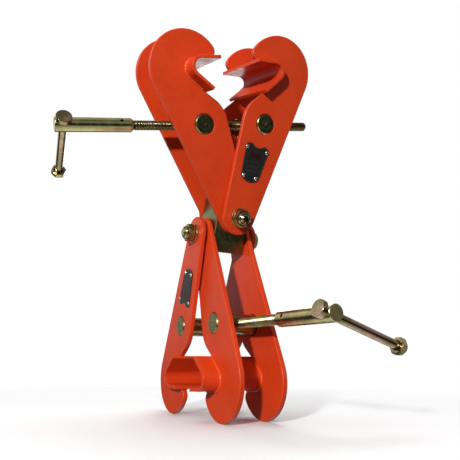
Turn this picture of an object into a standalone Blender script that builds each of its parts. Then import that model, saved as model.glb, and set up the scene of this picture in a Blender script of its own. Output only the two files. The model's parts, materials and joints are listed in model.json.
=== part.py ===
"""Double beam clamp: two screw beam clamps, one above the other, joined crosswise by a steel block.

Both clamps come from the same function. Each is built in its own frame: +Y along its pivot bolt, +Z up the
line that halves its two arms, and the handle side at -X. The lower clamp is the upper one turned upside down
and a quarter turn round, so its bolt lies along X, its handle points to -Y, and it stands on its four heads.
Within an arm, u runs towards the mouth and v runs from the pivot bolt up the arm.
"""

from math import acos, atan2, cos, hypot, pi, radians, sin, tan

import bmesh
import bpy
from mathutils import Matrix, Vector

MM = 0.001

# How the parts stand at rest, in degrees.
BLOCK_LEAN = 20.0
UPPER_SWING = -12.4
UPPER_HALF_ANGLE = 18.8
LOWER_HALF_ANGLE = 18.0
UPPER_BAR_TURN = 143.0
LOWER_BAR_TURN = 198.0

# Where the lower pivot stands on the floor plan, which centres the whole object on the origin.
CENTRE_X = 53.6 * MM
CENTRE_Y = 44.75 * MM

# Side plates, in metres.
PLATE_THICKNESS = 5.0 * MM
INNER_PLATE_FACE = 24.4 * MM
OUTER_PLATE_FACE = 32.4 * MM
HEAD_CENTRE = (0.3 * MM, 155.2 * MM)
HEAD_RADIUS = 36.3 * MM
FOOT_RADIUS = 18.1 * MM
SHOULDER = (26.2 * MM, 109.5 * MM)
SHOULDER_RADIUS = 30.0 * MM
NOSE_RADIUS = 7.0 * MM

# The bent jaw plate, a C in section, open towards the other arm.
JAW_HALF_WIDTH = 41.9 * MM
JAW_THICKNESS = 3.0 * MM
THROAT_CENTRE = (9.1 * MM, 151.5 * MM)
THROAT_RADIUS = 7.2 * MM
UPPER_LIP_ANGLE = -15.3
LOWER_LIP_ANGLE = -55.9
UPPER_LIP_LENGTH = 20.0 * MM
LOWER_LIP_LENGTH = 21.2 * MM

# Trunnions and the screw through them.
TRUNNION_HEIGHT = 100.0 * MM
TRUNNION_RADIUS = 10.0 * MM
TRUNNION_PROUD = 0.8 * MM
TRUNNION_CHAMFER = 0.8 * MM
ROD_RADIUS = 4.8 * MM
ROD_FAR_END = 103.0 * MM
ROD_NEAR_END = -98.0 * MM
ROD_CHAMFER = 1.5 * MM
SPIGOT_RADIUS = 4.0 * MM
SPIGOT_LENGTH = 17.0 * MM
GROOVE_RADIUS = 3.0 * MM
GROOVE_HALF_WIDTH = 2.2 * MM
LOWER_ROD_SHIFT = -11.0 * MM

# The round handle on the rod, its pin and its sliding bar.
HANDLE_RADIUS = 6.8 * MM
HANDLE_LENGTH = 72.2 * MM
HANDLE_BORE_DEPTH = 18.0 * MM
HANDLE_CHAMFER = 2.2 * MM
BAR_HOLE_FROM_END = 8.0 * MM
BAR_RADIUS = 3.7 * MM
BAR_HEAD_RADIUS = 7.3 * MM
BAR_HEAD_THICKNESS = 4.6 * MM
BAR_NUT_FLATS = 13.0 * MM
BAR_NUT_THICKNESS = 8.0 * MM
BAR_NUT_DISTANCE = 73.0 * MM
BAR_END_PROUD = 1.2 * MM
PIN_FROM_END = 11.5 * MM
PIN_RADIUS = 1.4 * MM

# Block, pivot bolts, nuts and washers.
BLOCK_WIDTH = 37.4 * MM
BLOCK_HEIGHT = 54.4 * MM
BLOCK_CHAMFER = 1.0 * MM
AXIS_OFFSET = 12.4 * MM
BOLT_RADIUS = 5.0 * MM
BOLT_END = 46.4 * MM
HEX_FLATS = 17.0 * MM
BOLT_HEAD_THICKNESS = 6.4 * MM
NUT_HEX_THICKNESS = 7.0 * MM
NUT_COLLAR_RADIUS = 6.8 * MM
NUT_COLLAR_THICKNESS = 2.9 * MM
WASHER_RADIUS = 10.0 * MM
WASHER_THICKNESS = 2.0 * MM
SPACER_RADIUS = 9.6 * MM

# Nameplate and its rivets, on the outer arm's nut-side plate.
NAMEPLATE_THICKNESS = 0.8 * MM
NAMEPLATE_U = 1.5 * MM
NAMEPLATE_TOP = 77.5 * MM
NAMEPLATE_BOTTOM = 38.0 * MM
NAMEPLATE_TOP_HALF_WIDTH = 14.0 * MM
NAMEPLATE_BOTTOM_HALF_WIDTH = 10.4 * MM
NAMEPLATE_BOTTOM_RADIUS = 14.5 * MM
NAMEPLATE_CORNER = 3.0 * MM
NAMEPLATE_DIP_RADIUS = 9.0 * MM
NAMEPLATE_DIP_DEPTH = 3.3 * MM
RIVET_TOP = (11.8 * MM, 72.4 * MM)
RIVET_BOTTOM = (7.4 * MM, 43.4 * MM)
RIVET_HEAD_RADIUS = 2.1 * MM
RIVET_HEAD_HEIGHT = 1.1 * MM
RIVET_SHANK_RADIUS = 1.1 * MM
RIVET_DEPTH = 3.0 * MM

GAP = 0.3 * MM
ROUND_STEPS = 24
SMALL_STEPS = 12
MERGE = 0.00001

# Base colour, metallic and roughness.
ORANGE = ((0.62, 0.06, 0.012, 1.0), 0.0, 0.42)
ZINC = ((0.46, 0.41, 0.17, 1.0), 1.0, 0.35)
BRIGHT = ((0.62, 0.60, 0.50, 1.0), 1.0, 0.30)
DARK_PLATE = ((0.05, 0.055, 0.05, 1.0), 0.6, 0.45)


def clear_scene():
    for obj in list(bpy.data.objects):
        bpy.data.objects.remove(obj, do_unlink=True)


def collection(name):
    found = bpy.data.collections.new(name)
    bpy.context.scene.collection.children.link(found)
    return found


def material(name, look):
    colour, metallic, roughness = look
    made = bpy.data.materials.new(name)
    made.use_nodes = True
    shader = made.node_tree.nodes["Principled BSDF"]
    shader.inputs["Base Color"].default_value = colour
    shader.inputs["Metallic"].default_value = metallic
    shader.inputs["Roughness"].default_value = roughness
    return made


def place(obj, parent, location=(0.0, 0.0, 0.0), rotation=(0.0, 0.0, 0.0)):
    obj.parent = parent
    obj.location = location
    obj.rotation_euler = rotation


def empty(name, parent=None, location=(0.0, 0.0, 0.0), rotation=(0.0, 0.0, 0.0)):
    made = bpy.data.objects.new(name, None)
    parts.objects.link(made)
    place(made, parent, location, rotation)
    return made


def arc(centre, radius, start, end, steps):
    """Points on an arc, with both ends, its angles in radians."""
    angles = [start + (end - start) * i / steps for i in range(steps + 1)]
    return [(centre[0] + radius * cos(a), centre[1] + radius * sin(a)) for a in angles]


def circle(centre, radius, steps):
    return arc(centre, radius, 0.0, 2 * pi, steps)[:-1]


def rounded_corner(before, corner, after, radius, steps):
    """An arc of this radius in the corner between two straight edges."""
    corner = Vector(corner)
    inward = (Vector(before) - corner).normalized()
    onward = (Vector(after) - corner).normalized()
    half = inward.angle(onward) / 2
    centre = corner + (inward + onward).normalized() * radius / sin(half)
    first = corner + inward * radius / tan(half) - centre
    last = corner + onward * radius / tan(half) - centre
    start = atan2(first.y, first.x)
    sweep = first.angle_signed(last)
    return arc(centre, radius, start, start - sweep, steps)


def link_mesh(name, mesh, look):
    obj = bpy.data.objects.new(name, mesh)
    mesh.materials.clear()
    mesh.materials.append(look)
    parts.objects.link(obj)
    return obj


def flat(name, loops, thickness, look):
    """A flat piece centred on the XY plane: the first loop is its outline, the rest are holes."""
    curve = bpy.data.curves.new(name, "CURVE")
    curve.dimensions = "2D"
    curve.fill_mode = "BOTH"
    curve.extrude = thickness / 2
    for loop in loops:
        spline = curve.splines.new("POLY")
        spline.points.add(len(loop) - 1)
        for point, (x, y) in zip(spline.points, loop):
            point.co = (x, y, 0.0, 1.0)
        spline.use_cyclic_u = True
    drawn = bpy.data.objects.new(name + "_outline", curve)
    parts.objects.link(drawn)
    bpy.context.view_layer.update()
    mesh = bpy.data.meshes.new_from_object(drawn.evaluated_get(bpy.context.evaluated_depsgraph_get()))
    bpy.data.objects.remove(drawn, do_unlink=True)
    bpy.data.curves.remove(curve)
    weld(mesh)
    return link_mesh(name, mesh, look)


def weld(mesh):
    shape = bmesh.new()
    shape.from_mesh(mesh)
    bmesh.ops.remove_doubles(shape, verts=shape.verts, dist=MERGE)
    bmesh.ops.recalc_face_normals(shape, faces=shape.faces)
    shape.to_mesh(mesh)
    shape.free()


def turned(name, profile, look, steps=ROUND_STEPS):
    """A turned piece about Z, from (radius, z) pairs from top to bottom, with both ends on the axis or closed."""
    mesh = bpy.data.meshes.new(name)
    edges = [(i, i + 1) for i in range(len(profile) - 1)]
    if profile[0][0] > 0.0:
        edges.append((len(profile) - 1, 0))
    mesh.from_pydata([(r, 0.0, z) for r, z in profile], edges, [])
    obj = link_mesh(name, mesh, look)
    screw = obj.modifiers.new("turn", "SCREW")
    screw.steps = steps
    screw.render_steps = steps
    screw.use_merge_vertices = True
    screw.merge_threshold = MERGE
    screw.use_smooth_shade = True
    return obj


def prism(name, sides, flats, low, high, look):
    """A regular prism about Z, flats its width across flats."""
    shape = bmesh.new()
    radius = flats / 2 / cos(pi / sides)
    bmesh.ops.create_cone(
        shape, cap_ends=True, segments=sides, radius1=radius, radius2=radius, depth=high - low
    )
    bmesh.ops.rotate(shape, verts=shape.verts, matrix=Matrix.Rotation(pi / sides, 3, "Z"))
    bmesh.ops.translate(shape, verts=shape.verts, vec=(0.0, 0.0, (low + high) / 2))
    mesh = bpy.data.meshes.new(name)
    shape.to_mesh(mesh)
    shape.free()
    return link_mesh(name, mesh, look)


def cutter(obj):
    """Moves a finished shape to the cutters, which are never part of the object."""
    parts.objects.unlink(obj)
    cutters.objects.link(obj)
    obj.hide_render = True
    obj.display_type = "WIRE"
    return obj


def round_cutter(name, radius, length, steps=ROUND_STEPS):
    """A round cutter about Z, centred on its middle."""
    profile = [(0.0, length / 2), (radius, length / 2), (radius, -length / 2), (0.0, -length / 2)]
    return cutter(turned(name, profile, zinc, steps))


def boolean(obj, other, operation):
    step = obj.modifiers.new(operation.lower(), "BOOLEAN")
    step.operation = operation
    step.object = other
    step.solver = "EXACT"


def lip_direction(angle):
    return Vector((cos(radians(angle)), sin(radians(angle))))


def throat_line(radius):
    """The C's line at this distance from its centre: upper lip's tip, round the throat, lower lip's tip."""
    centre = Vector(THROAT_CENTRE)
    upper = lip_direction(UPPER_LIP_ANGLE)
    lower = lip_direction(LOWER_LIP_ANGLE)
    start = radians(UPPER_LIP_ANGLE + 90.0)
    end = radians(LOWER_LIP_ANGLE + 270.0)
    bend = arc(THROAT_CENTRE, radius, start, end, 8)
    upper_tip = centre + Vector((-upper.y, upper.x)) * radius + upper * UPPER_LIP_LENGTH
    lower_tip = centre + Vector((lower.y, -lower.x)) * radius + lower * LOWER_LIP_LENGTH
    return [tuple(upper_tip)] + bend + [tuple(lower_tip)]


def tangent_angle(near_side):
    """The direction from the pivot to where an edge leaves the foot's arc, on the back or the mouth side."""
    if near_side == "back":
        across, along = HEAD_CENTRE
        reach = hypot(across, along)
        return atan2(along, across) + acos((FOOT_RADIUS - HEAD_RADIUS) / reach)
    reach = hypot(*SHOULDER)
    return atan2(SHOULDER[1], SHOULDER[0]) - acos(FOOT_RADIUS / reach)


def plate_outline():
    """The side plate's outline as (u, v) points, anticlockwise from the mouth side of the foot."""
    mouth_angle = tangent_angle("mouth")
    back_angle = tangent_angle("back")
    foot_mouth = (FOOT_RADIUS * cos(mouth_angle), FOOT_RADIUS * sin(mouth_angle))
    notch = throat_line(THROAT_RADIUS + JAW_THICKNESS + GAP)[::-1]
    shoulder = rounded_corner(foot_mouth, SHOULDER, notch[0], SHOULDER_RADIUS, 5)
    lip = lip_direction(UPPER_LIP_ANGLE)
    start = Vector(notch[-2])
    centre = Vector(HEAD_CENTRE)
    offset = start - centre
    along = -offset.dot(lip) + (HEAD_RADIUS**2 - offset.length_squared + offset.dot(lip) ** 2) ** 0.5
    nose = start + lip * along
    nose_angle = atan2(nose.y - centre.y, nose.x - centre.x)
    ahead = arc(HEAD_CENTRE, HEAD_RADIUS, nose_angle + 0.3, back_angle, 26)
    nose_arc = rounded_corner(tuple(start), tuple(nose), ahead[0], NOSE_RADIUS, 3)
    foot = arc((0.0, 0.0), FOOT_RADIUS, back_angle, 2 * pi + mouth_angle, 14)
    return shoulder + notch[:-1] + nose_arc + ahead + foot


def bracket_outline():
    inside = throat_line(THROAT_RADIUS)
    outside = throat_line(THROAT_RADIUS + JAW_THICKNESS)
    return inside + outside[::-1]


def rivet_places():
    places = []
    for across, height in (RIVET_TOP, RIVET_BOTTOM):
        places += [(NAMEPLATE_U - across, height), (NAMEPLATE_U + across, height)]
    return places


def nameplate_outline():
    """A tapering plate with a concave notch in its top end and a bowed bottom end."""
    top = NAMEPLATE_TOP
    u = NAMEPLATE_U
    dip_half = (2 * NAMEPLATE_DIP_RADIUS * NAMEPLATE_DIP_DEPTH - NAMEPLATE_DIP_DEPTH**2) ** 0.5
    dip_centre = (u, top + NAMEPLATE_DIP_RADIUS - NAMEPLATE_DIP_DEPTH)
    dip_angle = atan2(top - dip_centre[1], dip_half)
    dip = arc(dip_centre, NAMEPLATE_DIP_RADIUS, dip_angle, -pi - dip_angle, 6)
    wide, slim = NAMEPLATE_TOP_HALF_WIDTH, NAMEPLATE_BOTTOM_HALF_WIDTH
    bow_centre = (u, NAMEPLATE_BOTTOM + NAMEPLATE_BOTTOM_RADIUS)
    bow_angle = acos(slim / NAMEPLATE_BOTTOM_RADIUS)
    bow = arc(bow_centre, NAMEPLATE_BOTTOM_RADIUS, -pi + bow_angle, -bow_angle, 8)
    right = rounded_corner(bow[-1], (u + wide, top - 1.5 * MM), dip[0], NAMEPLATE_CORNER, 3)
    left = rounded_corner(dip[-1], (u - wide, top - 1.5 * MM), bow[0], NAMEPLATE_CORNER, 3)
    return bow + right + dip + left


def mirrored(loop):
    return [(-x, y) for x, y in reversed(loop)]


def upright(obj, parent, y):
    """Stands a flat piece up: its own Y becomes the frame's Z, and its middle plane lies at y."""
    place(obj, parent, (0.0, y, 0.0), (pi / 2, 0.0, 0.0))


def add_arm(prefix, side, frame):
    """One arm: two side plates, and the bent jaw plate welded into their notches."""
    inner = side == "inner"
    face = INNER_PLATE_FACE if inner else OUTER_PLATE_FACE
    facing = (lambda loop: loop) if inner else mirrored
    outline = facing(plate_outline())
    holes = [
        circle((0.0, 0.0), BOLT_RADIUS + GAP, ROUND_STEPS),
        circle((0.0, TRUNNION_HEIGHT), TRUNNION_RADIUS + GAP, ROUND_STEPS),
    ]
    for end, sign in (("nut_side", -1.0), ("head_side", 1.0)):
        plate = flat(f"{prefix}_{side}_{end}_plate", [outline] + holes, PLATE_THICKNESS, orange)
        upright(plate, frame, sign * (face - PLATE_THICKNESS / 2))
        if end == "nut_side" and not inner:
            drill_for_rivets(plate)
    bracket = flat(f"{prefix}_{side}_jaw", [facing(bracket_outline())], 2 * JAW_HALF_WIDTH, orange)
    upright(bracket, frame, 0.0)


def drill_for_rivets(plate):
    for number, (u, v) in enumerate(rivet_places(), 1):
        drill = round_cutter(
            f"{plate.name}_drill_{number}", RIVET_SHANK_RADIUS + GAP, 2 * (RIVET_DEPTH + GAP), SMALL_STEPS
        )
        place(drill, plate, (-u, v, PLATE_THICKNESS / 2))
        boolean(plate, drill, "DIFFERENCE")


def add_nameplate(prefix, frame):
    loops = [nameplate_outline()]
    loops += [circle(spot, RIVET_SHANK_RADIUS + GAP, SMALL_STEPS) for spot in rivet_places()]
    loops = [mirrored(loop) for loop in loops]
    plate = flat(f"{prefix}_nameplate", loops, NAMEPLATE_THICKNESS, dark_plate)
    under = OUTER_PLATE_FACE + GAP
    upright(plate, frame, -(under + NAMEPLATE_THICKNESS / 2))
    top = NAMEPLATE_THICKNESS + GAP
    profile = [
        (0.0, top + RIVET_HEAD_HEIGHT),
        (0.6 * RIVET_HEAD_RADIUS, top + 0.8 * RIVET_HEAD_HEIGHT),
        (RIVET_HEAD_RADIUS, top + 0.1 * RIVET_HEAD_HEIGHT),
        (RIVET_HEAD_RADIUS, top),
        (RIVET_SHANK_RADIUS, top),
        (RIVET_SHANK_RADIUS, -RIVET_DEPTH),
        (0.0, -RIVET_DEPTH),
    ]
    for number, (u, v) in enumerate(rivet_places(), 1):
        rivet = turned(f"{prefix}_rivet_{number}", profile, bright, SMALL_STEPS)
        place(rivet, frame, (-u, -under, v), (pi / 2, 0.0, 0.0))


def add_trunnion(prefix, side, frame):
    half = (INNER_PLATE_FACE if side == "inner" else OUTER_PLATE_FACE) + TRUNNION_PROUD
    small = TRUNNION_RADIUS - TRUNNION_CHAMFER
    shoulder = half - TRUNNION_CHAMFER
    profile = [
        (0.0, half), (small, half), (TRUNNION_RADIUS, shoulder),
        (TRUNNION_RADIUS, -shoulder), (small, -half), (0.0, -half),
    ]
    trunnion = turned(f"{prefix}_{side}_trunnion", profile, zinc)
    place(trunnion, frame, (0.0, 0.0, 0.0), (pi / 2, 0.0, 0.0))
    bore = round_cutter(f"{prefix}_{side}_trunnion_bore", ROD_RADIUS + GAP, 4 * TRUNNION_RADIUS)
    place(bore, trunnion, (0.0, 0.0, 0.0), (0.0, pi / 2, 0.0))
    boolean(trunnion, bore, "DIFFERENCE")


def add_rod(prefix, frame):
    """The screw, turned about the frame's X, with a grooved spigot for the handle at its near end."""
    groove = ROD_NEAR_END - PIN_FROM_END
    tip = ROD_NEAR_END - SPIGOT_LENGTH
    profile = [
        (0.0, ROD_FAR_END), (ROD_RADIUS - ROD_CHAMFER, ROD_FAR_END), (ROD_RADIUS, ROD_FAR_END - ROD_CHAMFER),
        (ROD_RADIUS, ROD_NEAR_END), (SPIGOT_RADIUS, ROD_NEAR_END),
        (SPIGOT_RADIUS, groove + GROOVE_HALF_WIDTH), (GROOVE_RADIUS, groove + GROOVE_HALF_WIDTH),
        (GROOVE_RADIUS, groove - GROOVE_HALF_WIDTH), (SPIGOT_RADIUS, groove - GROOVE_HALF_WIDTH),
        (SPIGOT_RADIUS, tip), (0.0, tip),
    ]
    rod = turned(f"{prefix}_screw", profile, zinc)
    place(rod, frame, (0.0, 0.0, 0.0), (0.0, pi / 2, 0.0))


def add_handle(prefix, frame, bar_turn):
    """The round handle, and in its wall the pin, parallel to the bar. The frame's X is the screw's axis."""
    start = ROD_NEAR_END - GAP
    end = start - HANDLE_LENGTH
    bore = SPIGOT_RADIUS + GAP
    profile = [
        (bore, start), (HANDLE_RADIUS - HANDLE_CHAMFER, start), (HANDLE_RADIUS, start - 2 * HANDLE_CHAMFER),
        (HANDLE_RADIUS, end + 0.5 * MM), (HANDLE_RADIUS - 0.5 * MM, end), (0.0, end),
    ]
    mesh_profile = [(0.0, start - HANDLE_BORE_DEPTH), (bore, start - HANDLE_BORE_DEPTH)] + profile
    handle = turned(f"{prefix}_handle", mesh_profile, zinc)
    place(handle, frame, (0.0, 0.0, 0.0), (0.0, pi / 2, 0.0))
    bar_hole = round_cutter(f"{prefix}_handle_bar_hole", BAR_RADIUS + GAP, 4 * HANDLE_RADIUS, 20)
    pin_hole = round_cutter(f"{prefix}_handle_pin_hole", PIN_RADIUS + GAP, 2 * HANDLE_RADIUS, SMALL_STEPS)
    pin_frame = empty(f"{prefix}_pin_frame", frame, (start - PIN_FROM_END + GAP, 0.0, 0.0))
    pin_frame.rotation_euler = (radians(bar_turn) - pi / 2, 0.0, 0.0)
    place(pin_hole, pin_frame, (0.0, 0.0, HANDLE_RADIUS))
    boolean(handle, pin_hole, "DIFFERENCE")
    low = GROOVE_RADIUS + GAP
    high = HANDLE_RADIUS - 0.2 * MM
    profile = [(0.0, high), (PIN_RADIUS, high), (PIN_RADIUS, low), (0.0, low)]
    pin = turned(f"{prefix}_handle_pin", profile, bright, SMALL_STEPS)
    place(pin, pin_frame)
    return handle, bar_hole, end + BAR_HOLE_FROM_END


def add_bar(prefix, frame, handle, bar_hole):
    """The sliding bar with its head, and the nut on its far end. The frame's Z points to the head."""
    place(bar_hole, frame)
    boolean(handle, bar_hole, "DIFFERENCE")
    head_low = HANDLE_RADIUS + GAP
    head_high = head_low + BAR_HEAD_THICKNESS
    nut_low = -BAR_NUT_DISTANCE - BAR_NUT_THICKNESS / 2
    end = nut_low - BAR_END_PROUD
    profile = [
        (0.0, head_high), (BAR_HEAD_RADIUS - 1.2 * MM, head_high),
        (BAR_HEAD_RADIUS, head_high - 1.2 * MM), (BAR_HEAD_RADIUS, head_low),
        (BAR_RADIUS, head_low), (BAR_RADIUS, end + 0.6 * MM), (BAR_RADIUS - 0.6 * MM, end), (0.0, end),
    ]
    bar = turned(f"{prefix}_tommy_bar", profile, zinc, 20)
    place(bar, frame)
    nut = prism(f"{prefix}_tommy_nut", 6, BAR_NUT_FLATS, nut_low, nut_low + BAR_NUT_THICKNESS, zinc)
    place(nut, frame)
    bore = round_cutter(f"{prefix}_tommy_nut_bore", BAR_RADIUS + GAP, 3 * BAR_NUT_DISTANCE, 20)
    place(bore, frame)
    boolean(nut, bore, "DIFFERENCE")


def add_bolt(prefix, frame):
    """The pivot bolt along the frame's Y, head at +Y, with its nut and washers."""
    outward = (-pi / 2, 0.0, 0.0)
    head_low = OUTER_PLATE_FACE + WASHER_THICKNESS + 2 * GAP
    head_high = head_low + BOLT_HEAD_THICKNESS
    bolt = prism(f"{prefix}_pivot_bolt", 6, HEX_FLATS, head_low, head_high, zinc)
    place(bolt, frame, (0.0, 0.0, 0.0), outward)
    top = head_low + BOLT_HEAD_THICKNESS / 2
    profile = [(0.0, top), (BOLT_RADIUS, top), (BOLT_RADIUS, -BOLT_END), (0.0, -BOLT_END)]
    shank = cutter(turned(f"{prefix}_pivot_bolt_shank", profile, zinc))
    place(shank, bolt)
    boolean(bolt, shank, "UNION")

    nut_top = head_low + NUT_HEX_THICKNESS
    nut = prism(f"{prefix}_pivot_nut", 6, HEX_FLATS, head_low, nut_top, zinc)
    place(nut, frame, (0.0, 0.0, 0.0), (pi / 2, 0.0, 0.0))
    collar_top = nut_top + NUT_COLLAR_THICKNESS
    collar_profile = [
        (0.0, collar_top), (NUT_COLLAR_RADIUS - 1.0 * MM, collar_top),
        (NUT_COLLAR_RADIUS, collar_top - 1.0 * MM),
        (NUT_COLLAR_RADIUS, nut_top - 1.0 * MM), (0.0, nut_top - 1.0 * MM),
    ]
    collar = cutter(turned(f"{prefix}_pivot_nut_collar", collar_profile, zinc))
    place(collar, nut)
    boolean(nut, collar, "UNION")
    bore = round_cutter(f"{prefix}_pivot_nut_bore", BOLT_RADIUS + GAP, 4 * BOLT_END)
    place(bore, nut)
    boolean(nut, bore, "DIFFERENCE")

    washer_low = OUTER_PLATE_FACE + GAP
    spacer_low = INNER_PLATE_FACE + GAP
    spacer_high = OUTER_PLATE_FACE - PLATE_THICKNESS - GAP
    rings = [
        ("nut_side_washer", -1.0, WASHER_RADIUS, washer_low, washer_low + WASHER_THICKNESS),
        ("head_side_washer", 1.0, WASHER_RADIUS, washer_low, washer_low + WASHER_THICKNESS),
        ("nut_side_spacer", -1.0, SPACER_RADIUS, spacer_low, spacer_high),
        ("head_side_spacer", 1.0, SPACER_RADIUS, spacer_low, spacer_high),
    ]
    for name, sign, radius, low, high in rings:
        hole = BOLT_RADIUS + GAP
        profile = [(radius, high), (radius, low), (hole, low), (hole, high)]
        ring = turned(f"{prefix}_{name}", profile, zinc, 20)
        place(ring, frame, (0.0, 0.0, 0.0), (-sign * pi / 2, 0.0, 0.0))


def add_clamp(prefix, frame, half_angle, rod_shift, bar_turn):
    angle = radians(half_angle)
    arms = {}
    trunnions = {}
    for side, lean in (("inner", -angle), ("outer", angle)):
        arms[side] = empty(f"{prefix}_{side}_arm_frame", frame, (0.0, 0.0, 0.0), (0.0, lean, 0.0))
        trunnions[side] = empty(
            f"{prefix}_{side}_trunnion_frame", arms[side], (0.0, 0.0, TRUNNION_HEIGHT), (0.0, -lean, 0.0)
        )
        add_arm(prefix, side, arms[side])
        add_trunnion(prefix, side, trunnions[side])
    add_nameplate(prefix, arms["outer"])
    add_bolt(prefix, frame)
    middle = TRUNNION_HEIGHT * sin(angle) + rod_shift
    screw_frame = empty(f"{prefix}_screw_frame", trunnions["inner"], (middle, 0.0, 0.0))
    add_rod(prefix, screw_frame)
    handle, bar_hole, bar_x = add_handle(prefix, screw_frame, bar_turn)
    bar_frame = empty(f"{prefix}_bar_frame", screw_frame, (bar_x, 0.0, 0.0))
    bar_frame.rotation_euler = (radians(bar_turn) - pi / 2, 0.0, 0.0)
    add_bar(prefix, bar_frame, handle, bar_hole)


def add_block(frame):
    shape = bmesh.new()
    bmesh.ops.create_cube(shape, size=1.0)
    bmesh.ops.scale(shape, verts=shape.verts, vec=(BLOCK_WIDTH, BLOCK_WIDTH, BLOCK_HEIGHT))
    mesh = bpy.data.meshes.new("centre_block")
    shape.to_mesh(mesh)
    shape.free()
    block = link_mesh("centre_block", mesh, zinc)
    place(block, frame)
    edges = block.modifiers.new("chamfer", "BEVEL")
    edges.width = BLOCK_CHAMFER
    edges.segments = 1
    for name, height, rotation in (
        ("upper", AXIS_OFFSET, (pi / 2, 0.0, 0.0)),
        ("lower", -AXIS_OFFSET, (0.0, pi / 2, 0.0)),
    ):
        bore = round_cutter(f"centre_block_{name}_bore", BOLT_RADIUS + GAP, 2 * BLOCK_WIDTH)
        place(bore, block, (0.0, 0.0, height), rotation)
        boolean(block, bore, "DIFFERENCE")


def lowest_point():
    """How far the lower arms' heads reach below the lower pivot."""
    angle = radians(LOWER_HALF_ANGLE)
    return HEAD_CENTRE[1] * cos(angle) + HEAD_CENTRE[0] * sin(angle) + HEAD_RADIUS


def build():
    lean = radians(BLOCK_LEAN)
    pivot_height = lowest_point()
    drop = AXIS_OFFSET
    block_frame = empty(
        "block_frame",
        None,
        (CENTRE_X, CENTRE_Y - drop * sin(lean), pivot_height + drop * cos(lean)),
        (lean, 0.0, 0.0),
    )
    add_block(block_frame)
    upper = empty("upper_frame", block_frame, (0.0, 0.0, AXIS_OFFSET), (0.0, radians(UPPER_SWING), 0.0))
    lower = empty("lower_frame", None, (CENTRE_X, CENTRE_Y, pivot_height))
    lower.rotation_euler = Matrix(((0, 1, 0), (1, 0, 0), (0, 0, -1))).to_euler()
    add_clamp("upper", upper, UPPER_HALF_ANGLE, 0.0, UPPER_BAR_TURN)
    add_clamp("lower", lower, LOWER_HALF_ANGLE, LOWER_ROD_SHIFT, LOWER_BAR_TURN)


clear_scene()
parts = collection("beam_clamp")
cutters = collection("cutters")
orange = material("orange_paint", ORANGE)
zinc = material("yellow_zinc_steel", ZINC)
bright = material("bright_steel", BRIGHT)
dark_plate = material("nameplate_grey", DARK_PLATE)
build()
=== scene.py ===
"""The looks of the double beam clamp: every CAD piece gets a finished mesh and a procedural material.

Both clamps come from the same functions. Each clamp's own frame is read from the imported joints: +Y along
its pivot bolt, +X along its screw and away from the handle, +Z square to both. A flat piece is drawn in its
XY plane and stood up. A turned piece is drawn about its Z.
"""

import json
from math import acos, atan2, ceil, cos, floor, hypot, pi, radians, sin, tan

import bmesh
import bpy
from mathutils import Matrix, Vector, noise


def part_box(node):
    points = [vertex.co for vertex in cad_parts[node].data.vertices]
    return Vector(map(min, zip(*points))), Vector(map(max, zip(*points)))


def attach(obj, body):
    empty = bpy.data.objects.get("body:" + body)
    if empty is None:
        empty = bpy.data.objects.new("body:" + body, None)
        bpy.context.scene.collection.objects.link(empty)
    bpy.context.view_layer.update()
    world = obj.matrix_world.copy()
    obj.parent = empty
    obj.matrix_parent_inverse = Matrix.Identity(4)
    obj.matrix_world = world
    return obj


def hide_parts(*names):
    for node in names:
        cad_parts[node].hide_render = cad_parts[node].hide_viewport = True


MM = 0.001

# Side plates, in the arm's own u (towards the mouth) and v (up the arm).
PLATE_THICKNESS = 5.0 * MM
INNER_PLATE_FACE = 24.4 * MM
OUTER_PLATE_FACE = 32.4 * MM
PLATE_EDGE = 0.9 * MM
HEAD_CENTRE = (0.3 * MM, 155.2 * MM)
HEAD_RADIUS = 36.3 * MM
FOOT_RADIUS = 18.1 * MM
SHOULDER = (26.2 * MM, 109.5 * MM)
SHOULDER_RADIUS = 30.0 * MM
NOSE_RADIUS = 7.0 * MM
NOTCH_GAP = 0.1 * MM

# The bent jaw plate.
JAW_HALF_WIDTH = 41.9 * MM
JAW_THICKNESS = 3.0 * MM
JAW_EDGE = 0.45 * MM
THROAT_CENTRE = (9.1 * MM, 151.5 * MM)
THROAT_RADIUS = 7.2 * MM
UPPER_LIP_ANGLE = -15.3
LOWER_LIP_ANGLE = -55.9
UPPER_LIP_LENGTH = 20.0 * MM
LOWER_LIP_LENGTH = 21.2 * MM

# The weld beads along the jaw plate, on both faces of every side plate.
WELD_RADIUS = 1.5 * MM
WELD_STEP = 0.7 * MM
WELD_RIPPLE = 2.6 * MM
WELD_SIDES = 10

# Trunnions and screws.
TRUNNION_RADIUS = 10.0 * MM
TRUNNION_GAP = 0.25 * MM
TRUNNION_PROUD = 0.8 * MM
TRUNNION_CHAMFER = 0.9 * MM
TRUNNION_BORE = 5.15 * MM
THREAD_CREST = 4.85 * MM
THREAD_ROOT = 4.1 * MM
THREAD_PITCH = 1.5 * MM
THREAD_RINGS = 8
THREAD_SIDES = 40
ROD_FAR_END = 103.0 * MM
ROD_NEAR_END = -98.0 * MM
ROD_CHAMFER = 1.5 * MM
NECK_HALF_LENGTH = 3.5 * MM
SPIGOT_RADIUS = 4.0 * MM
SPIGOT_LENGTH = 17.0 * MM
HANDLE_JOINT_X = -130.0 * MM

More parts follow.
